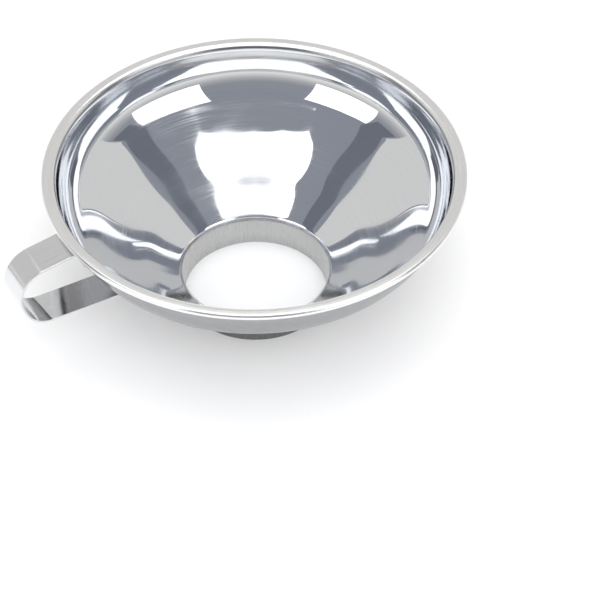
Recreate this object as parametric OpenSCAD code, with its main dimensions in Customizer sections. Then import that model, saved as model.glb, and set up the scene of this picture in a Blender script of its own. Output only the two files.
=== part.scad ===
// Canning funnel: a wide spun bowl with a curled lip, a short neck welded to
// its throat, and a strap handle spot-welded to its side.
// +Z is up and the handle points along -X. The origin is on the funnel's axis,
// at the neck's bottom edge, which the funnel stands on.
// Bowl and neck are turned from outlines in the (radius, height) plane.

/* [Bowl] */
// Outer diameter over the curled lip
lip_d = 143; // [135:1:160]
// Height from the neck's bottom edge to the top of the lip
total_h = 55; // [52:1:65]
// Thickness of the sheet steel
sheet_t = 0.6; // [0.5:0.1:0.8]
// Width of the lip, from the upright wall's inner face to the outer edge
lip_w = 5; // [4.8:0.1:6]
// Inner radius of the bend between the upright wall and the lip
lip_bend_r = 2.5; // [2:0.1:2.6]
// Height of the curl at the lip's outer edge
curl_h = 2.1; // [2:0.1:2.4]
// Length of the curl's flat return under the lip
curl_return = 0.8; // [0.4:0.1:1]
// Height at which the cone would meet the upright wall in a sharp corner
foot_h = 42.2; // [40:0.2:42.4]
// Inner radius of the wide rounding that takes the place of that corner
foot_r = 20; // [16:0.5:20]

/* [Throat and neck] */
// Inner diameter of the neck's straight bottom band
neck_d = 49.2; // [44:0.2:52]
// Height of the neck's straight bottom band
neck_band_h = 4; // [3:0.5:5]
// Angle by which the neck widens above that band
neck_taper = 8; // [4:1:10]
// Height at which the neck would meet the cone in a sharp corner
throat_h = 10.3; // [9:0.1:11]
// Inner radius that rounds that corner
throat_r = 3; // [2.5:0.5:4]
// Radius of the weld bead around the outside of the neck's joint
bead_r = 0.8; // [0.7:0.1:1]

/* [Handle] */
// Width of the handle strap
strap_w = 12.7; // [10:0.1:15]
// Thickness of the handle strap
strap_t = 0.8; // [0.6:0.1:1]
// How far the upper limb drops below level, in degrees
limb_drop = 9; // [6:1:10]
// Length of the upper limb's straight run
upper_run = 12.8; // [11:0.2:18]
// Radius of the two big bends, at the middle of the strap
loop_r = 10.1; // [9:0.1:11]
// Length of the short straight run between the two big bends
nose_run = 2.6; // [1:0.2:4]
// Angle turned by the first of the two big bends
nose_turn = 102; // [95:1:110]
// Radius of the tight bends beside the tabs, at the middle of the strap
tab_bend_r = 1.2; // [1:0.1:1.5]
// Length of the tab on the bowl's rounded side
upper_tab = 6; // [5:0.5:6]
// Straight length of the tab under the cone
lower_tab = 10; // [8:0.5:12]
// Radius of the tabs' rounded corners
tab_corner_r = 1.5; // [1:0.5:3]
// Gap between the handle and the curl above it
curl_gap = 0.5; // [0.3:0.1:1]

/* [Spot welds] */
// Diameter of one spot weld
spot_d = 3; // [2:0.5:3.5]
// Distance between the two spot welds of a tab
spot_spacing = 6.4; // [5:0.2:7]
// Depth of the dimple that the electrode leaves on the strap
spot_dimple = 0.15; // [0.1:0.05:0.3]

/* [Hidden] */
$fn = 256;
steps = 20;
bend_steps = 16;
// A little extra on the radius that cuts the tabs' corners, so that the cut meets
// the strap's faces at a clear angle.
corner_extra = 0.02;

lip_r = lip_d / 2;
wall_r = lip_r - lip_w;
band_r = neck_d / 2;
curl_r = curl_h / 2;
curl_low_h = total_h - curl_h;

// The cone runs from the throat's sharp corner to the foot's sharp corner.
throat_corner_r = band_r + (throat_h - neck_band_h) * tan(neck_taper);
cone_slope = atan((foot_h - throat_h) / (wall_r - throat_corner_r));

// Centre and start and end angles of the rounding between neck and cone.
throat_c = [throat_corner_r, throat_h]
    + throat_r * [cos(neck_taper) + sin(cone_slope), -sin(neck_taper) - cos(cone_slope)]
    / (1 + sin(cone_slope + neck_taper));
throat_low_a = 180 - neck_taper;
throat_top_a = 90 + cone_slope;
seam_a = (throat_low_a + throat_top_a) / 2;

// Centre of the rounding between cone and upright wall.
foot_c = [wall_r - foot_r, foot_h + foot_r * tan((90 - cone_slope) / 2)];

function arc(c, r, from, to) =
    [for (i = [0 : steps]) c + r * [cos(from + (to - from) * i / steps),
                                    sin(from + (to - from) * i / steps)]];
function backwards(list) = [for (i = [len(list) - 1 : -1 : 0]) list[i]];

// The bowl's face at depth d into the sheet, from the neck joint to the end
// of the curl.
function bowl_face(d) = concat(
    arc(throat_c, throat_r - d, seam_a, throat_top_a),
    arc(foot_c, foot_r + d, cone_slope - 90, 0),
    arc([wall_r + lip_bend_r, total_h - lip_bend_r], lip_bend_r - d, 180, 90),
    arc([lip_r - curl_r, total_h - curl_r], curl_r - d, 90, -90),
    [[lip_r - curl_r - curl_return, curl_low_h + d]]);

// The neck's face at depth d, from its bottom edge to the joint.
function neck_face(d) = concat(
    [[band_r + d, 0], [band_r + d, neck_band_h - d * tan(neck_taper / 2)]],
    arc(throat_c, throat_r - d, throat_low_a, seam_a));

module bowl_outline() {
    polygon(concat(bowl_face(0), backwards(bowl_face(sheet_t))));
}

module neck_outline() {
    polygon(concat(neck_face(0), backwards(neck_face(sheet_t))));
}

module bowl() {
    color([0.80, 0.81, 0.83])
        rotate_extrude() bowl_outline();
}

module neck() {
    color([0.70, 0.70, 0.71])
        rotate_extrude() neck_outline();
}

// The bead lies on the outer faces of bowl and neck, over their joint.
module neck_weld() {
    joint = throat_c + (throat_r - sheet_t) * [cos(seam_a), sin(seam_a)];
    color([0.62, 0.60, 0.57])
        rotate_extrude() difference() {
            translate(joint) circle(r = bead_r);
            polygon(concat(bowl_face(-bead_r), backwards(bowl_face(sheet_t))));
            polygon(concat(neck_face(-bead_r), backwards(neck_face(sheet_t))));
        }
}

// The strap's path in the (radius, height) plane: up the tab on the rounded side,
// outwards under the curl, round the two big bends and back in to the cone.
// The upper limb's middle line passes the gap below the curl's inner end, so it
// crosses the axis at limb_axis_h.
tab_r = foot_r + sheet_t + strap_t / 2;
curl_end_r = lip_r - curl_r - curl_return;
limb_axis_h = curl_low_h - curl_gap - strap_t / 2 / cos(limb_drop) + curl_end_r * tan(limb_drop);

// The bend between tab and limb touches both: its centre lies tab_bend_r below the
// limb and tab_bend_r outside the tab, at the angle tab_top_a on the rounding.
hub_r = tab_r + tab_bend_r;
hub_height = (limb_axis_h - tab_bend_r / cos(limb_drop) - foot_c[1] - foot_c[0] * tan(limb_drop)) / hub_r;
tab_top_a = asin(hub_height * cos(limb_drop)) - limb_drop;
tab_turn = upper_tab / tab_r * 180 / PI;
limb_start = foot_c + hub_r * [cos(tab_top_a), sin(tab_top_a)]
    + tab_bend_r * [sin(limb_drop), cos(limb_drop)];

// Where the lower limb's middle lies, after both big bends.
nose_a = nose_turn + limb_drop;
low_limb = limb_start
    + upper_run * [cos(limb_drop), -sin(limb_drop)]
    + loop_r * [sin(nose_a) - sin(limb_drop), cos(nose_a) - cos(limb_drop)]
    + nose_run * [cos(nose_a), -sin(nose_a)]
    + loop_r * [-sin(nose_a), -1 - cos(nose_a)];

// The lower limb runs level to the cone, then bends down along it.
lower_tab_line_r = throat_corner_r
    + (low_limb[1] - throat_h + (sheet_t + strap_t / 2) / cos(cone_slope)) / tan(cone_slope);
lower_tangent = tab_bend_r * tan(cone_slope / 2);
lower_run = low_limb[0] - lower_tab_line_r - lower_tangent;
lower_tab_start = [lower_tab_line_r, low_limb[1]]
    - lower_tangent * [cos(cone_slope), sin(cone_slope)];

// Points and headings along a list of moves, each of them
// [straight length, angle of the bend after it, radius of that bend].
function walk(moves, at, heading, i = 0) =
    i == len(moves) ? [] :
    let (run = moves[i][0], turn = moves[i][1], r = moves[i][2],
         ahead = at + run * [cos(heading), sin(heading)],
         hub = ahead + sign(turn) * r * [-sin(heading), cos(heading)],
         bend = turn == 0 ? [[ahead, heading]] :
             [for (k = [run == 0 ? 1 : 0 : bend_steps])
                 let (a = heading + turn * k / bend_steps)
                 [hub + sign(turn) * r * [sin(a), -cos(a)], a]])
    concat(i == 0 ? [[at, heading]] : [], bend,
           walk(moves, bend[len(bend) - 1][0], heading + turn, i + 1));

// The path's points moved sideways by d.
function beside(path, d) = [for (p = path) p[0] + d * [-sin(p[1]), cos(p[1])]];

strap_path = walk([[0, tab_turn, tab_r],
                   [0, -90 - tab_top_a - limb_drop, tab_bend_r],
                   [upper_run, -nose_turn, loop_r],
                   [nose_run, nose_a - 180, loop_r],
                   [lower_run, cone_slope, tab_bend_r],
                   [lower_tab, 0, 0]],
                  foot_c + tab_r * [cos(tab_top_a - tab_turn), sin(tab_top_a - tab_turn)],
                  90 + tab_top_a - tab_turn);

// Turns the strap's own plane, x outwards and y up, to point along -X.
module on_handle_side() {
    rotate([90, 0, 180]) children();
}

// Frames on the middle of the tabs: x towards the free end, y into the bowl and
// z across. The upper tab's frame turns with the rounding to the angle a, the lower
// tab's frame slides the distance d along the cone.
module upper_tab_frame(a) {
    on_handle_side() translate(foot_c + tab_r * [cos(a), sin(a)])
        rotate([0, 0, a - 90]) mirror([0, 1, 0]) children();
}

module lower_tab_frame(d) {
    on_handle_side() translate(lower_tab_start - d * [cos(cone_slope), sin(cone_slope)])
        rotate([0, 0, 180 + cone_slope]) mirror([0, 1, 0]) children();
}

// What rounding takes off the two corners of a tab that ends at x = 0.
module corner_cuts() {
    for (side = [0, 1])
        mirror([0, 0, side])
            translate([-tab_corner_r, 0, strap_w / 2 - tab_corner_r])
                difference() {
                    translate([0, -strap_t, 0]) cube([2, 2, 2] * max(tab_corner_r, strap_t));
                    rotate([90, 0, 0])
                        cylinder(r = tab_corner_r + corner_extra, h = 4 * strap_t, center = true);
                }
}

// Places its children at the two spot welds of each tab, with +z into the bowl.
module at_spots() {
    for (side = [-spot_spacing / 2, spot_spacing / 2])
        translate([0, 0, side]) rotate([-90, 0, 0]) children();
}

module spot_holes() {
    at_spots() cylinder(d = spot_d, h = 4 * strap_t, center = true);
}

module handle_strap() {
    color([0.74, 0.75, 0.76]) difference() {
        on_handle_side() linear_extrude(strap_w, center = true)
            polygon(concat(beside(strap_path, strap_t / 2),
                           backwards(beside(strap_path, -strap_t / 2))));
        upper_tab_frame(tab_top_a - tab_turn / 2) spot_holes();
        upper_tab_frame(tab_top_a - tab_turn) corner_cuts();
        lower_tab_frame(lower_tab / 2) spot_holes();
        lower_tab_frame(lower_tab) corner_cuts();
    }
}

// Each weld fills its hole in the strap, down to the bowl's sheet.
module spot_welds() {
    at_spots()
        translate([0, 0, spot_dimple - strap_t / 2]) cylinder(d = spot_d, h = strap_t + sheet_t / 2);
}

module upper_spot_welds() {
    color([0.58, 0.56, 0.54]) difference() {
        upper_tab_frame(tab_top_a - tab_turn / 2) spot_welds();
        rotate_extrude() bowl_outline();
    }
}

module lower_spot_welds() {
    color([0.58, 0.56, 0.54]) difference() {
        lower_tab_frame(lower_tab / 2) spot_welds();
        rotate_extrude() bowl_outline();
    }
}

bowl();
neck();
neck_weld();
handle_strap();
upper_spot_welds();
lower_spot_welds();
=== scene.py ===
"""Looks of the canning funnel: spun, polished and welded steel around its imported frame."""

import math

import bmesh
import bpy
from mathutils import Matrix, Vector


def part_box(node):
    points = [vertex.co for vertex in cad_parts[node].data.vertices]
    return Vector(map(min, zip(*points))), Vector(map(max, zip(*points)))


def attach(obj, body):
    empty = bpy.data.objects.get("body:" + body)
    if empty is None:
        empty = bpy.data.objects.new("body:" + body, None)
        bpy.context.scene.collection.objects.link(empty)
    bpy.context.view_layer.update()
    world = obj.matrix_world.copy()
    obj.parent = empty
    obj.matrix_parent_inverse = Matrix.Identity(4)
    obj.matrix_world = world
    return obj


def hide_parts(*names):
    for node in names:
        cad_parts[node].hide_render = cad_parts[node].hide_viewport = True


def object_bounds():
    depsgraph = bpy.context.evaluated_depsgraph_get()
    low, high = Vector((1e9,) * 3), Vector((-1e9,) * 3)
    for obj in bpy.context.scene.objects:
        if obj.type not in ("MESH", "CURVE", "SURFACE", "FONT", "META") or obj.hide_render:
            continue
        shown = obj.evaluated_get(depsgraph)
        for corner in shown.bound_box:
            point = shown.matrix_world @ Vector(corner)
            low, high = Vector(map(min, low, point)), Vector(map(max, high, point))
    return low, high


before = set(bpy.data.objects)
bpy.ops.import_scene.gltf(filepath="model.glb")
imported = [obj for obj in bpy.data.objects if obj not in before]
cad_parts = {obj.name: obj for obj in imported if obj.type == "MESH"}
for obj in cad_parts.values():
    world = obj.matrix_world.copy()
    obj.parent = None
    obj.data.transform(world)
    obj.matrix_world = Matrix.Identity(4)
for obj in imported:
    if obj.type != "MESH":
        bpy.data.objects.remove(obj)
CAD_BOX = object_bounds()
MM = 0.001

# Sizes of the sheet-metal parts, as in part.scad, in millimetres and radians.
LIP_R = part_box("bowl")[1].x / MM
TOTAL_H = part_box("bowl")[1].z / MM
STRAP_W = (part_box("handle_strap")[1].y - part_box("handle_strap")[0].y) / MM
SHEET_T = 0.6
LIP_W = 5.0
LIP_BEND_R = 2.5
CURL_H = 2.1
CURL_RETURN = 0.8
FOOT_H = 42.2
FOOT_R = 20.0
BAND_R = 24.6
NECK_BAND_H = 4.0
NECK_TAPER = math.radians(8.0)
THROAT_H = 10.3
THROAT_R = 3.0
BEAD_R = 0.8
STRAP_T = 0.8
LIMB_DROP = math.radians(9.0)
UPPER_RUN = 12.8
LOOP_R = 10.1
NOSE_RUN = 2.6
NOSE_TURN = math.radians(102.0)
TAB_BEND_R = 1.2
UPPER_TAB = 6.0
LOWER_TAB = 10.0
TAB_CORNER_R = 1.5
CURL_GAP = 0.5
SPOT_D = 3.0
SPOT_SPACING = 6.4

# Details that only the looks have, in millimetres.
EDGE_SOFTNESS = 0.08
STRAP_EDGE_R = 0.16
SPOT_DIMPLE = 0.25
SPOT_RIM = 0.35
SPOT_GAP = 0.1
SPOT_DOME = 0.08
SPOT_EDGE = 0.05
FLAT_TOLERANCE = 0.01
BEAD_RIPPLE = 0.04
BEAD_RIPPLES = 130
BEAD_LEAN = 1.5
# The lip's finish starts this share of its bend below the top. The polished face
# reaches this far outside the wall.
LIP_FINISH_SHARE = 0.30
INNER_FINISH_REACH = 0.3

# Spinning leaves the cone slightly hollow, with a faint ring: how far the slope strays,
# in degrees, at which radius and over what width. Only the polished face strays, and the
# straying fades out in the rounding above the cone.
STRAYS = ((1.65, 36.5, 2.6), (4.3, 56.0, 6.0))
STRAY_END_R = 64.0
STRAY_FADE = 6.0

# Fineness of the meshes.
RING_SEGMENTS = 384
CONE_STEPS = 48
ARC_STEPS = 14
FOOT_STEPS = 32
BEAD_STEPS = 32
SOFT_STEPS = 4
STRAP_FLAT_STEPS = 60
STRAP_EDGE_STEPS = 6
SPOT_SEGMENTS = 40
MIN_BEND_STEPS = 8
BEND_STEP_A = 3.0
BEND_STEP = 0.15
SHARP_ANGLE = 40.0

# What follows from the sizes.
WALL_R = LIP_R - LIP_W
CURL_R = CURL_H / 2
CURL_LOW_H = TOTAL_H - CURL_H
THROAT_CORNER_R = BAND_R + (THROAT_H - NECK_BAND_H) * math.tan(NECK_TAPER)
SLOPE = math.atan((FOOT_H - THROAT_H) / (WALL_R - THROAT_CORNER_R))
SPREAD = THROAT_R / (1 + math.sin(SLOPE + NECK_TAPER))
THROAT_C = (
    THROAT_CORNER_R + SPREAD * (math.cos(NECK_TAPER) + math.sin(SLOPE)),
    THROAT_H - SPREAD * (math.sin(NECK_TAPER) + math.cos(SLOPE)),
)
THROAT_LOW_A = math.pi - NECK_TAPER
THROAT_TOP_A = math.pi / 2 + SLOPE
SEAM_A = (THROAT_LOW_A + THROAT_TOP_A) / 2
FOOT_C = (WALL_R - FOOT_R, FOOT_H + FOOT_R * math.tan((math.pi / 2 - SLOPE) / 2))


# ---- outlines in the (radius, height) plane ----

def arc(centre, radius, start, end, steps=ARC_STEPS):
    points = []
    for i in range(steps + 1):
        a = start + (end - start) * i / steps
        points.append((centre[0] + radius * math.cos(a), centre[1] + radius * math.sin(a)))
    return points


def stray_at(r):
    return sum(stray * math.exp(-0.5 * ((r - at) / width) ** 2) for stray, at, width in STRAYS)


def spun(points, share):
    """The line moved by this share of its straying, which starts and ends on the line."""
    pairs = list(zip(points, points[1:]))
    steps = [math.dist(a, b) for a, b in pairs]
    middles = [(a[0] + b[0]) / 2 for a, b in pairs]
    fades = [min(1.0, max(0.0, (STRAY_END_R - r) / STRAY_FADE)) for r in middles]
    strays = [fade * stray_at(r) for fade, r in zip(fades, middles)]
    level = sum(s * d for s, d in zip(strays, steps)) / sum(f * d for f, d in zip(fades, steps))
    lift = 0.0
    moved = [points[0]]
    for (a, b), step, stray, fade in zip(pairs, steps, strays, fades):
        lift += share * step * math.radians(stray - level * fade)
        moved.append((b[0] - lift * (b[1] - a[1]) / step, b[1] + lift * (b[0] - a[0]) / step))
    return moved


def bowl_face(depth):
    """The bowl's face at this depth into the sheet, from the neck's joint to the curl's end."""
    lip_c = (WALL_R + LIP_BEND_R, TOTAL_H - LIP_BEND_R)
    curl_c = (LIP_R - CURL_R, TOTAL_H - CURL_R)
    throat = arc(THROAT_C, THROAT_R - depth, SEAM_A, THROAT_TOP_A)
    foot = arc(FOOT_C, FOOT_R + depth, SLOPE - math.pi / 2, 0.0, FOOT_STEPS)
    lip = arc(lip_c, LIP_BEND_R - depth, math.pi, math.pi / 2)
    curl = arc(curl_c, CURL_R - depth, math.pi / 2, -math.pi / 2)
    end = (LIP_R - CURL_R - CURL_RETURN, CURL_LOW_H + depth)
    cone = [
        tuple(a + (b - a) * i / CONE_STEPS for a, b in zip(throat[-1], foot[0]))
        for i in range(CONE_STEPS)
    ]
    return throat[:-1] + spun(cone + foot, 1.0 - depth / SHEET_T) + lip + curl + [end]


def neck_face(depth):
    """The neck's face at this depth, from its bottom edge to the joint."""
    band_top = NECK_BAND_H - depth * math.tan(NECK_TAPER / 2)
    band = [(BAND_R + depth, z) for z in (0.0, 1.0, 2.0, 3.0, band_top)]
    return band + arc(THROAT_C, THROAT_R - depth, THROAT_LOW_A, SEAM_A)


def softened(outline, corners):
    """The outline with its sharp corners at these indices rounded off."""
    points = []
    for i, here in enumerate(outline):
        if i not in corners:
            points.append(here)
            continue
        ends = []
        for other in (outline[i - 1], outline[(i + 1) % len(outline)]):
            share = EDGE_SOFTNESS / math.dist(here, other)
            ends.append(tuple(h + (o - h) * share for h, o in zip(here, other)))
        for k in range(SOFT_STEPS + 1):
            t = k / SOFT_STEPS
            points.append(tuple(
                (1 - t) ** 2 * a + 2 * t * (1 - t) * h + t * t * b
                for a, h, b in zip(ends[0], here, ends[1])
            ))
    return points


def sheet_outline(face):
    """A closed outline round both faces of a sheet."""
    inner = face(0.0)
    outline = inner + face(SHEET_T)[::-1]
    count = len(inner)
    return softened(outline, {0, count - 1, count, 2 * count - 1})


# ---- meshes ----

def make_object(name, maker, materials):
    bmesh.ops.recalc_face_normals(maker, faces=maker.faces)
    mesh = bpy.data.meshes.new(name)
    maker.to_mesh(mesh)
    maker.free()
    mesh.shade_smooth()
    mesh.set_sharp_from_angle(angle=math.radians(SHARP_ANGLE))
    for material in materials:
        mesh.materials.append(material)
    piece = bpy.data.objects.new(name, mesh)
    bpy.context.scene.collection.objects.link(piece)
    return piece


def bridge(maker, near, far, indices=None):
    """Faces between two closed rows of vertices, with these material indices."""
    for i in range(len(near)):
        j = (i + 1) % len(near)
        face = maker.faces.new((near[i], near[j], far[j], far[i]))
        face.material_index = indices[i] if indices else 0


def lathe(outline, material_of=None, shift=None):
    """A closed ring from a closed outline.

    material_of picks a material by an edge's two points. shift moves a point by
    (radius, height) at an angle.
    """
    maker = bmesh.new()
    rings = []
    for s in range(RING_SEGMENTS):
        a = 2 * math.pi * s / RING_SEGMENTS
        ring = []
        for r, z in outline:
            if shift:
                dr, dz = shift(r, z, a)
                r, z = r + dr, z + dz
            ring.append(maker.verts.new((r * MM * math.cos(a), r * MM * math.sin(a), z * MM)))
        rings.append(ring)
    edges = list(zip(outline, outline[1:] + outline[:1]))
    indices = [material_of(a, b) for a, b in edges] if material_of else None
    for near, far in zip(rings, rings[1:] + rings[:1]):
        bridge(maker, near, far, indices)
    return maker


# ---- materials ----

def node(owner, kind, **values):
    """A new node in a material or a world, with these settings."""
    made = owner.node_tree.nodes.new(kind)
    for key, value in values.items():
        setattr(made, key, value)
    return made


def link(owner, output, target):
    owner.node_tree.links.new(output, target)


def maths(material, operation, a, b):
    """A maths node over sockets or plain numbers."""
    made = node(material, "ShaderNodeMath", operation=operation)
    for value, target in zip((a, b), made.inputs):
        if isinstance(value, float):
            target.default_value = value
        else:
            link(material, value, target)
    return made.outputs[0]


def remap(material, value, low, high, to_low, to_high):
    made = node(material, "ShaderNodeMapRange")
    link(material, value, made.inputs["Value"])
    made.inputs["From Min"].default_value = low
    made.inputs["From Max"].default_value = high
    made.inputs["To Min"].default_value = to_low
    made.inputs["To Max"].default_value = to_high
    return made.outputs[0]


def noise(material, vector, scale, detail=3.0, roughness=0.55):
    made = node(material, "ShaderNodeTexNoise")
    link(material, vector, made.inputs["Vector"])
    made.inputs["Scale"].default_value = scale
    made.inputs["Detail"].default_value = detail
    made.inputs["Roughness"].default_value = roughness
    return made.outputs["Fac"]


def place(material):
    return node(material, "ShaderNodeTexCoord").outputs["Object"]


def height_of(material):
    split = node(material, "ShaderNodeSeparateXYZ")
    link(material, place(material), split.inputs[0])
    return split.outputs["Z"]


def stretched(material, factors):
    """The place on the piece, scaled by these factors."""
    made = node(material, "ShaderNodeVectorMath", operation="MULTIPLY")
    link(material, place(material), made.inputs[0])
    made.inputs[1].default_value = factors
    return made.outputs[0]


def around_axis(material, along_ring, along_radius, along_height):
    """Coordinates that follow the rings of a turned part."""
    flat = stretched(material, (1.0, 1.0, 0.0))
    unit = node(material, "ShaderNodeVectorMath", operation="NORMALIZE")
    link(material, flat, unit.inputs[0])
    spread = node(material, "ShaderNodeVectorMath", operation="SCALE")
    link(material, unit.outputs[0], spread.inputs[0])
    spread.inputs["Scale"].default_value = along_ring
    radius = node(material, "ShaderNodeVectorMath", operation="LENGTH")
    link(material, flat, radius.inputs[0])
    outwards = maths(material, "MULTIPLY", radius.outputs["Value"], along_radius)
    upwards = maths(material, "MULTIPLY", height_of(material), along_height)
    level = node(material, "ShaderNodeCombineXYZ")
    link(material, maths(material, "ADD", outwards, upwards), level.inputs["Z"])
    total = node(material, "ShaderNodeVectorMath", operation="ADD")
    link(material, spread.outputs[0], total.inputs[0])
    link(material, level.outputs[0], total.inputs[1])
    return total.outputs[0]


def tint(material, factor, stops, shader):
    """Base colour from a ramp of (position, colour) stops."""
    ramp = node(material, "ShaderNodeValToRGB")
    fill_ramp(ramp, stops)
    link(material, factor, ramp.inputs["Fac"])
    link(material, ramp.outputs["Color"], shader.inputs["Base Color"])


def fill_ramp(ramp, stops):
    elements = ramp.color_ramp.elements
    for i, (position, colour) in enumerate(stops):
        last = i == len(stops) - 1
        element = elements[0] if i == 0 else elements[-1] if last else elements.new(position)
        element.position = position
        element.color = (*colour, 1.0)


def bump(material, height, distance, strength, shader, below=None):
    made = node(material, "ShaderNodeBump")
    made.inputs["Distance"].default_value = distance
    made.inputs["Strength"].default_value = strength
    link(material, height, made.inputs["Height"])
    if below is not None:
        link(material, below, made.inputs["Normal"])
    link(material, made.outputs["Normal"], shader.inputs["Normal"])
    return made.outputs["Normal"]


def new_steel(name, anisotropy=0.0, turn=0.0):
    material = bpy.data.materials.new(name)
    material.use_nodes = True
    shader = material.node_tree.nodes["Principled BSDF"]
    shader.inputs["Metallic"].default_value = 1.0
    shader.inputs["Anisotropic"].default_value = anisotropy
    shader.inputs["Anisotropic Rotation"].default_value = turn
    return material, shader


def ring_tangent(material, shader):
    tangent = node(material, "ShaderNodeTangent", direction_type="RADIAL", axis="Z")
    link(material, tangent.outputs["Tangent"], shader.inputs["Tangent"])


def polished_steel():
    """Mirror polish with faint turning lines, a little duller towards the lip."""
    material, shader = new_steel("polished_steel", anisotropy=0.55, turn=0.25)
    lines = noise(material, around_axis(material, 2.5, 5200.0, 5200.0), 1.0, roughness=0.6)
    clouds = noise(material, place(material), 45.0)
    wear = maths(material, "MULTIPLY", lines, remap(material, clouds, 0.3, 0.7, 0.5, 1.5))
    rim = remap(material, height_of(material), 0.046, 0.052, 0.0, 0.10)
    rough = maths(material, "ADD", remap(material, wear, 0.40, 0.95, 0.02, 0.16), rim)
    link(material, rough, shader.inputs["Roughness"])
    tint(material, lines, ((0.0, (0.70, 0.715, 0.74)), (1.0, (0.82, 0.83, 0.85))), shader)
    waves = noise(material, place(material), 30.0, detail=1.0, roughness=0.5)
    below = bump(material, waves, 0.0001, 0.15, shader)
    bump(material, lines, 0.000001, 0.4, shader, below)
    ring_tangent(material, shader)
    return material


def brushed_steel(
    name, grain, tones, rough, clouds, depth,
    anisotropy=0.5, turn=0.0, ragged=0.6, strength=0.5, turned=True,
):
    """Steel with a grain of fine lines; grain gives the coordinates the lines follow."""
    material, shader = new_steel(name, anisotropy, turn)
    lines = noise(material, grain(material), 1.0, roughness=ragged)
    both = maths(material, "ADD", lines, noise(material, place(material), clouds))
    link(material, remap(material, both, 0.7, 1.3, *rough), shader.inputs["Roughness"])
    tint(material, lines, ((0.0, tones[0]), (1.0, tones[1])), shader)
    bump(material, lines, depth, strength, shader)
    if turned:
        ring_tangent(material, shader)
    return material


def satin_steel(name, tones, rough):
    return brushed_steel(
        name, lambda material: around_axis(material, 4.0, 4200.0, 4200.0), tones, rough,
        clouds=60.0, depth=0.00001, anisotropy=0.4, turn=0.25,
    )


def painted_shade_neck_steel(name, tones):
    """Satin steel with upright grain, in the darkened tones given, which paint shade."""
    return brushed_steel(
        name, lambda material: around_axis(material, 90.0, 30.0, 60.0), tones, (0.2, 0.36),
        clouds=80.0, depth=0.00002, ragged=0.65, strength=0.6,
    )


def strap_steel():
    """Rolled strip, with its grain along the strap."""
    return brushed_steel(
        "strap_steel", lambda material: stretched(material, (60.0, 6500.0, 60.0)),
        ((0.58, 0.59, 0.61), (0.78, 0.78, 0.79)), (0.04, 0.14),
        clouds=90.0, depth=0.000008, turned=False,
    )


def weld_metal():
    """Grainy weld metal with patches of heat tint."""
    material, shader = new_steel("weld_metal")
    grain = noise(material, place(material), 900.0, detail=4.0, roughness=0.6)
    heat = noise(material, place(material), 160.0, roughness=0.5)
    rough = remap(material, grain, 0.3, 0.7, 0.28, 0.5)
    link(material, rough, shader.inputs["Roughness"])
    stops = ((0.35, (0.42, 0.36, 0.30)), (0.5, (0.44, 0.46, 0.52)), (0.65, (0.62, 0.61, 0.60)))
    tint(material, heat, stops, shader)
    bump(material, grain, 0.00005, 0.5, shader)
    return material


# ---- pieces ----

def finish_piece(piece, node_name):
    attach(piece, "root")
    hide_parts(node_name)


def make_bowl():
    lip_start_h = TOTAL_H - LIP_BEND_R * LIP_FINISH_SHARE

    def material_of(a, b):
        middle_r = (a[0] + b[0]) / 2
        middle_h = (a[1] + b[1]) / 2
        if middle_h > lip_start_h or middle_r > WALL_R + LIP_BEND_R:
            return 1
        facing_in = a[1] <= b[1] and middle_r < WALL_R + INNER_FINISH_REACH
        return 0 if facing_in else 2

    materials = [
        polished_steel(),
        satin_steel("lip_steel", ((0.72, 0.72, 0.72), (0.86, 0.86, 0.86)), (0.16, 0.30)),
        # The bowl's outer faces get darkened tones as painted shade, for the shade under the
        # lip.
        satin_steel("bowl_outside_painted_shade", ((0.29, 0.293, 0.30), (0.39, 0.392, 0.40)), (0.18, 0.34)),
    ]
    maker = lathe(sheet_outline(bowl_face), material_of)
    finish_piece(make_object("spun_bowl", maker, materials), "bowl")


def make_neck():
    materials = [
        # Both neck tones are darkened as painted shade. The outer one is darkest, for the shade
        # at the neck's foot.
        painted_shade_neck_steel("painted_shade_neck_steel", ((0.40, 0.40, 0.395), (0.60, 0.60, 0.60))),
        painted_shade_neck_steel("neck_outside_painted_shade", ((0.19, 0.19, 0.19), (0.28, 0.28, 0.28))),
    ]
    maker = lathe(sheet_outline(neck_face), lambda a, b: 0 if a[1] <= b[1] else 1)
    finish_piece(make_object("turned_neck", maker, materials), "neck")


def make_neck_weld(metal):
    """A rippled bead around the outside of the joint."""
    reach = THROAT_R - SHEET_T
    joint_r = THROAT_C[0] + reach * math.cos(SEAM_A)
    joint_h = THROAT_C[1] + reach * math.sin(SEAM_A)
    last_a = math.pi * (1 - 2 / BEAD_STEPS)
    outline = arc((joint_r, joint_h), BEAD_R, -math.pi, last_a, BEAD_STEPS - 1)

    def shift(r, z, a):
        wave = math.sin(BEAD_RIPPLES * a + BEAD_LEAN * (z - joint_h)) - 1
        share = BEAD_RIPPLE * wave / BEAD_R
        return (r - joint_r) * share, (z - joint_h) * share

    maker = lathe(outline, shift=shift)
    finish_piece(make_object("neck_weld_bead", maker, [metal]), "neck_weld")


# The strap's path, as in part.scad: points and headings of its middle line.

def walk(moves, at, heading):
    """The path along moves of (straight run, turn after it, its radius, steps of the run)."""
    path = [(at, heading)]
    for run, turn, radius, run_steps in moves:
        ahead = (math.cos(heading), math.sin(heading))
        for k in range(1, run_steps + 1):
            step = run * k / run_steps
            path.append(((at[0] + step * ahead[0], at[1] + step * ahead[1]), heading))
        at = path[-1][0]
        if turn == 0.0:
            continue
        reach = math.copysign(radius, turn)
        hub = (at[0] - reach * ahead[1], at[1] + reach * ahead[0])
        by_angle = int(abs(math.degrees(turn)) / BEND_STEP_A)
        bend_steps = max(MIN_BEND_STEPS, by_angle, int(abs(turn) * radius / BEND_STEP))
        for k in range(1, bend_steps + 1):
            a = heading + turn * k / bend_steps
            path.append(((hub[0] + reach * math.sin(a), hub[1] - reach * math.cos(a)), a))
        heading += turn
        at = path[-1][0]
    return path


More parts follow.
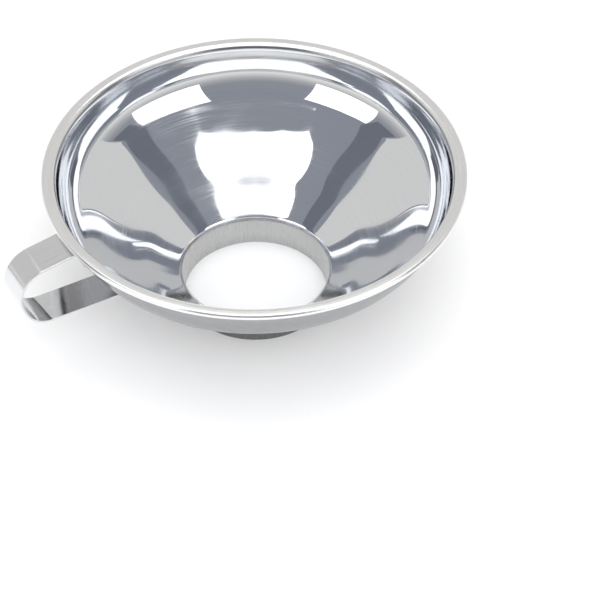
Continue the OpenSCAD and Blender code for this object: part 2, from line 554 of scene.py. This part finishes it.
def strap_path():
    tab_r = FOOT_R + SHEET_T + STRAP_T / 2
    curl_end_r = LIP_R - CURL_R - CURL_RETURN
    drop = math.tan(LIMB_DROP)
    axis_h = CURL_LOW_H - CURL_GAP - STRAP_T / 2 / math.cos(LIMB_DROP) + curl_end_r * drop
    hub_r = tab_r + TAB_BEND_R
    hub_height = axis_h - TAB_BEND_R / math.cos(LIMB_DROP) - FOOT_C[1] - FOOT_C[0] * drop
    top_a = math.asin(hub_height / hub_r * math.cos(LIMB_DROP)) - LIMB_DROP
    tab_turn = UPPER_TAB / tab_r
    start_r = FOOT_C[0] + hub_r * math.cos(top_a) + TAB_BEND_R * math.sin(LIMB_DROP)
    start_h = FOOT_C[1] + hub_r * math.sin(top_a) + TAB_BEND_R * math.cos(LIMB_DROP)
    nose_a = NOSE_TURN + LIMB_DROP
    low_r = start_r + UPPER_RUN * math.cos(LIMB_DROP) - LOOP_R * math.sin(LIMB_DROP)
    low_r += NOSE_RUN * math.cos(nose_a)
    low_h = start_h - UPPER_RUN * math.sin(LIMB_DROP) - LOOP_R * math.cos(LIMB_DROP)
    low_h -= NOSE_RUN * math.sin(nose_a) + LOOP_R
    tab_offset = (SHEET_T + STRAP_T / 2) / math.cos(SLOPE)
    line_r = THROAT_CORNER_R + (low_h - THROAT_H + tab_offset) / math.tan(SLOPE)
    lower_run = low_r - line_r - TAB_BEND_R * math.tan(SLOPE / 2)
    moves = (
        (0.0, tab_turn, tab_r, 0),
        (0.0, -math.pi / 2 - top_a - LIMB_DROP, TAB_BEND_R, 0),
        (UPPER_RUN, -NOSE_TURN, LOOP_R, 6),
        (NOSE_RUN, nose_a - math.pi, LOOP_R, 2),
        (lower_run, SLOPE, TAB_BEND_R, 8),
        (LOWER_TAB, 0.0, 0.0, 64),
    )
    end_a = top_a - tab_turn
    start = (FOOT_C[0] + tab_r * math.cos(end_a), FOOT_C[1] + tab_r * math.sin(end_a))
    return walk(moves, start, math.pi / 2 + end_a)


def path_lengths(path):
    lengths = [0.0]
    for (a, _), (b, _) in zip(path, path[1:]):
        lengths.append(lengths[-1] + math.dist(a, b))
    return lengths


def on_handle_side(r, h, across):
    """A point of the strap's own plane, turned to the -X side."""
    return (-r * MM, across * MM, h * MM)


def strap_section(half):
    """The strap's cross-section: (across, up) points round a flat bar with rounded edges."""
    thick = STRAP_T / 2
    flat = half - STRAP_EDGE_R
    rise = thick - STRAP_EDGE_R
    ways = [2 * k / STRAP_FLAT_STEPS - 1 for k in range(STRAP_FLAT_STEPS + 1)]
    quarter = math.pi / 2

    def edge(across, up, start, first):
        points = []
        for k in range(first, STRAP_EDGE_STEPS):
            a = start - quarter * k / STRAP_EDGE_STEPS
            points.append((across + STRAP_EDGE_R * math.cos(a), up + STRAP_EDGE_R * math.sin(a)))
        return points

    top = [(flat * way, thick) for way in ways]
    right = edge(flat, rise, quarter, 1) + edge(flat, -rise, 0.0, 0)
    bottom = [(-flat * way, -thick) for way in ways]
    left = edge(-flat, -rise, -quarter, 1) + edge(-flat, rise, math.pi, 0)
    return top + right + bottom + left


def tab_half_width(gone):
    """Half the strap's width at this distance from its end."""
    if gone >= TAB_CORNER_R:
        return STRAP_W / 2
    inset = math.sqrt(max(0.0, TAB_CORNER_R ** 2 - (TAB_CORNER_R - gone) ** 2))
    return STRAP_W / 2 - TAB_CORNER_R + inset


def dimple(s, total, across, up):
    """How far the welding tip has pressed the strap in, on the side of each tab that shows."""
    if abs(up) < STRAP_T / 2 - FLAT_TOLERANCE:
        return 0.0
    middle = UPPER_TAB / 2 if up < 0.0 else total - LOWER_TAB / 2
    gap = math.hypot(s - middle, abs(across) - SPOT_SPACING / 2) - SPOT_D / 2
    depth = SPOT_DIMPLE * min(1.0, max(0.0, 1.0 - gap / SPOT_RIM))
    return math.copysign(depth, up)


def make_strap(path, lengths):
    total = lengths[-1]
    maker = bmesh.new()
    uv = maker.loops.layers.uv.new("strap")
    rows = []
    for (at, heading), s in zip(path, lengths):
        side = (-math.sin(heading), math.cos(heading))
        row = []
        for across, up in strap_section(tab_half_width(min(s, total - s))):
            up -= dimple(s, total, across, up)
            spot = on_handle_side(at[0] + up * side[0], at[1] + up * side[1], across)
            row.append(maker.verts.new(spot))
        rows.append(row)
    around = len(rows[0])
    for i in range(len(rows) - 1):
        for j in range(around):
            k = (j + 1) % around
            face = maker.faces.new((rows[i][j], rows[i][k], rows[i + 1][k], rows[i + 1][j]))
            spans = ((i, j), (i, j + 1), (i + 1, j + 1), (i + 1, j))
            for loop, (along, over) in zip(face.loops, spans):
                loop[uv].uv = (lengths[along] / total, over / around)
    maker.faces.new(rows[0])
    maker.faces.new(rows[-1])
    finish_piece(make_object("strap_handle", maker, [strap_steel()]), "handle_strap")


def make_spots(name, node_name, at, heading, side, metal):
    """A pair of fused spots, nearly flush with the floor of their dimples."""
    ahead = (math.cos(heading), math.sin(heading))
    up = (-side * ahead[1], side * ahead[0])
    floor_h = STRAP_T / 2 - SPOT_DIMPLE
    edge = SPOT_D / 2 - SPOT_GAP
    profile = (
        (0.3, floor_h + SPOT_DOME),
        (0.8, floor_h + SPOT_DOME - 0.01),
        (edge - 0.2, floor_h + SPOT_DOME - 0.03),
        (edge - SPOT_EDGE, floor_h + SPOT_DOME - 0.06),
        (edge, floor_h - SPOT_EDGE),
        (edge, -STRAP_T / 2 - SPOT_EDGE),
    )
    maker = bmesh.new()
    for middle in (-SPOT_SPACING / 2, SPOT_SPACING / 2):
        rings = []
        for radius, rise in profile:
            ring = []
            for k in range(SPOT_SEGMENTS):
                a = 2 * math.pi * k / SPOT_SEGMENTS
                run = radius * math.cos(a)
                r = at[0] + run * ahead[0] + rise * up[0]
                h = at[1] + run * ahead[1] + rise * up[1]
                ring.append(maker.verts.new(on_handle_side(r, h, middle + radius * math.sin(a))))
            rings.append(ring)
        for near, far in zip(rings, rings[1:]):
            bridge(maker, near, far)
        maker.faces.new(rings[0])
        maker.faces.new(rings[-1])
    finish_piece(make_object(name, maker, [metal]), node_name)


def make_handle(metal):
    """The strap and its spot welds, on the outer side of the upper tab and the lower one."""
    path = strap_path()
    lengths = path_lengths(path)
    make_strap(path, lengths)

    def nearest(middle):
        return path[min(range(len(path)), key=lambda i: abs(lengths[i] - middle))]

    lower_middle = lengths[-1] - LOWER_TAB / 2
    make_spots("upper_spots", "upper_spot_welds", *nearest(UPPER_TAB / 2), -1.0, metal)
    make_spots("lower_spots", "lower_spot_welds", *nearest(lower_middle), 1.0, metal)


make_bowl()
make_neck()
METAL = weld_metal()
make_neck_weld(METAL)
make_handle(METAL)


# ---- studio ----

CAMERA_AZIMUTH = -28.0
CAMERA_PITCH = 43.3
CAMERA_YAW = 1.15
CAMERA_DISTANCE = 0.7616
CAMERA_HEIGHT = 0.7125
LENS = 180.0
SENSOR_W = 36.0
FLOOR_HALF = 4.0

# Colours of the room by height of the direction, from the horizon to overhead.
ROOM = (
    (0.0, (0.95, 0.94, 0.91)),
    (0.12, (0.90, 0.89, 0.86)),
    (0.28, (0.52, 0.52, 0.53)),
    (0.42, (0.33, 0.345, 0.38)),
    (0.75, (0.30, 0.32, 0.365)),
    (1.0, (0.34, 0.355, 0.39)),
)

# Directions and places in the studio are from the camera's own side of the object:
# x to the camera's right, y away from it, z up. An azimuth is counted from the front
# to the camera's right and a zenith angle from overhead, both in degrees.
# A panel has a distance in metres and the directions of its corners.
PANEL_AIM = Vector((0.0, 0.0, 0.03))
PANELS = (
    ("right_softbox", "bright", 1.1, ((33, 35), (82, 47), (74, 73), (31, 71))),
    ("left_softbox", "bright", 1.1, ((-37, 40), (-83, 47), (-76, 74), (-36, 74))),
    ("right_wall", "pale", 1.5, ((98, 52), (150, 40), (150, 80), (98, 80))),
    ("left_wall", "pale", 1.5, ((-98, 52), (-150, 40), (-150, 80), (-98, 80))),
    ("back_wall", "pale", 1.6, ((140, 45), (-140, 45), (-140, 80), (140, 80))),
    ("right_flag", "dark", 1.3, ((84, 38), (98, 40), (97, 62), (82, 60))),
    ("left_flag", "dark", 1.3, ((-84, 38), (-98, 40), (-97, 62), (-82, 60))),
)
# Right half of the overhead light's outline, from the middle of its bowed front edge.
TOP_LIGHT_H = 0.700
TOP_LIGHT = ((0.0, -0.302), (0.168, -0.289), (0.330, -0.245), (0.360, -0.190), (0.400, 0.450))


def to_row(x, y):
    """A place in the studio in the frame's own x and y."""
    turn = math.radians(CAMERA_AZIMUTH)
    return x * math.cos(turn) - y * math.sin(turn), x * math.sin(turn) + y * math.cos(turn)


def direction(azimuth, zenith):
    a = math.radians(azimuth)
    z = math.radians(zenith)
    x, y = to_row(math.sin(z) * math.sin(a), -math.sin(z) * math.cos(a))
    return Vector((x, y, math.cos(z)))


def add_camera():
    data = bpy.data.cameras.new("camera")
    data.lens = LENS
    data.sensor_width = SENSOR_W
    data.dof.use_dof = False
    camera = bpy.data.objects.new("camera", data)
    bpy.context.scene.collection.objects.link(camera)
    camera.location = (*to_row(0.0, -CAMERA_DISTANCE), CAMERA_HEIGHT)
    camera.rotation_euler = (
        math.radians(90.0 - CAMERA_PITCH),
        0.0,
        math.radians(CAMERA_AZIMUTH - CAMERA_YAW),
    )
    bpy.context.scene.camera = camera


def add_floor():
    maker = bmesh.new()
    bmesh.ops.create_grid(maker, x_segments=1, y_segments=1, size=FLOOR_HALF)
    material = bpy.data.materials.new("floor_paper")
    material.use_nodes = True
    shader = material.node_tree.nodes["Principled BSDF"]
    shader.inputs["Base Color"].default_value = (0.92, 0.92, 0.92, 1.0)
    shader.inputs["Roughness"].default_value = 0.8
    shader.inputs["Specular IOR Level"].default_value = 0.1
    floor = make_object("floor", maker, [material])
    floor.location.z = CAD_BOX[0][2]


def add_world():
    """A dim blue-grey room, pale near the floor."""
    world = bpy.data.worlds.new("studio")
    bpy.context.scene.world = world
    world.use_nodes = True
    split = node(world, "ShaderNodeSeparateXYZ")
    link(world, node(world, "ShaderNodeTexCoord").outputs["Generated"], split.inputs[0])
    ramp = node(world, "ShaderNodeValToRGB")
    fill_ramp(ramp, ROOM)
    link(world, split.outputs["Z"], ramp.inputs["Fac"])
    background = world.node_tree.nodes["Background"]
    link(world, ramp.outputs["Color"], background.inputs["Color"])


def glow(name, radiance, colour=(1.0, 1.0, 1.0)):
    material = bpy.data.materials.new(name)
    material.use_nodes = True
    nodes = material.node_tree.nodes
    nodes.remove(nodes["Principled BSDF"])
    lamp = node(material, "ShaderNodeEmission")
    lamp.inputs["Strength"].default_value = radiance
    lamp.inputs["Color"].default_value = (*colour, 1.0)
    link(material, lamp.outputs["Emission"], nodes["Material Output"].inputs["Surface"])
    return material


def add_glowing(name, corners, material):
    """A flat polygon that lights the object and shows in it, but not to the camera."""
    maker = bmesh.new()
    maker.faces.new([maker.verts.new(corner) for corner in corners])
    light = make_object(name, maker, [material])
    light.visible_camera = False


def add_panel(name, distance, corners, material):
    """A glowing flat panel that faces the bowl, with its corners in these directions."""
    ways = [direction(*corner) for corner in corners]
    middle = sum(ways, Vector()).normalized()
    add_glowing(name, [PANEL_AIM + way * distance / way.dot(middle) for way in ways], material)


def add_top_light(material):
    """The light overhead, with a bowed front edge."""
    left = [(-x, y) for x, y in TOP_LIGHT[:0:-1]]
    outline = [*TOP_LIGHT, *left]
    add_glowing("top_light", [(*to_row(x, y), TOP_LIGHT_H) for x, y in outline], material)


def add_fill(name, place_at, size, radiance):
    """Soft light on the floor that leaves no image of itself in the steel."""
    data = bpy.data.lights.new(name, "AREA")
    data.shape = "DISK"
    data.size = size
    data.energy = radiance * math.pi * math.pi * size * size / 4
    fill = bpy.data.objects.new(name, data)
    bpy.context.scene.collection.objects.link(fill)
    x, y, z = place_at
    fill.location = (*to_row(x, y), z)
    fill.rotation_euler = (-fill.location).to_track_quat("-Z", "Y").to_euler()
    fill.visible_camera = False
    fill.visible_glossy = False


add_camera()
add_floor()
add_world()
add_fill("top_fill", (0.0, -0.1, 1.4), 1.6, 1.6)
add_fill("front_fill", (0.1, -1.3, 0.75), 1.6, 3.0)
GLOWS = {
    "bright": glow("bright_panel", 1.9),
    "pale": glow("pale_panel", 0.76, (1.0, 0.99, 0.97)),
    "dark": glow("dark_panel", 0.23, (0.78, 0.84, 1.0)),
}
for panel_name, glow_name, panel_distance, panel_corners in PANELS:
    add_panel(panel_name, panel_distance, panel_corners, GLOWS[glow_name])
add_top_light(GLOWS["bright"])
bpy.context.scene.view_settings.view_transform = "Standard"
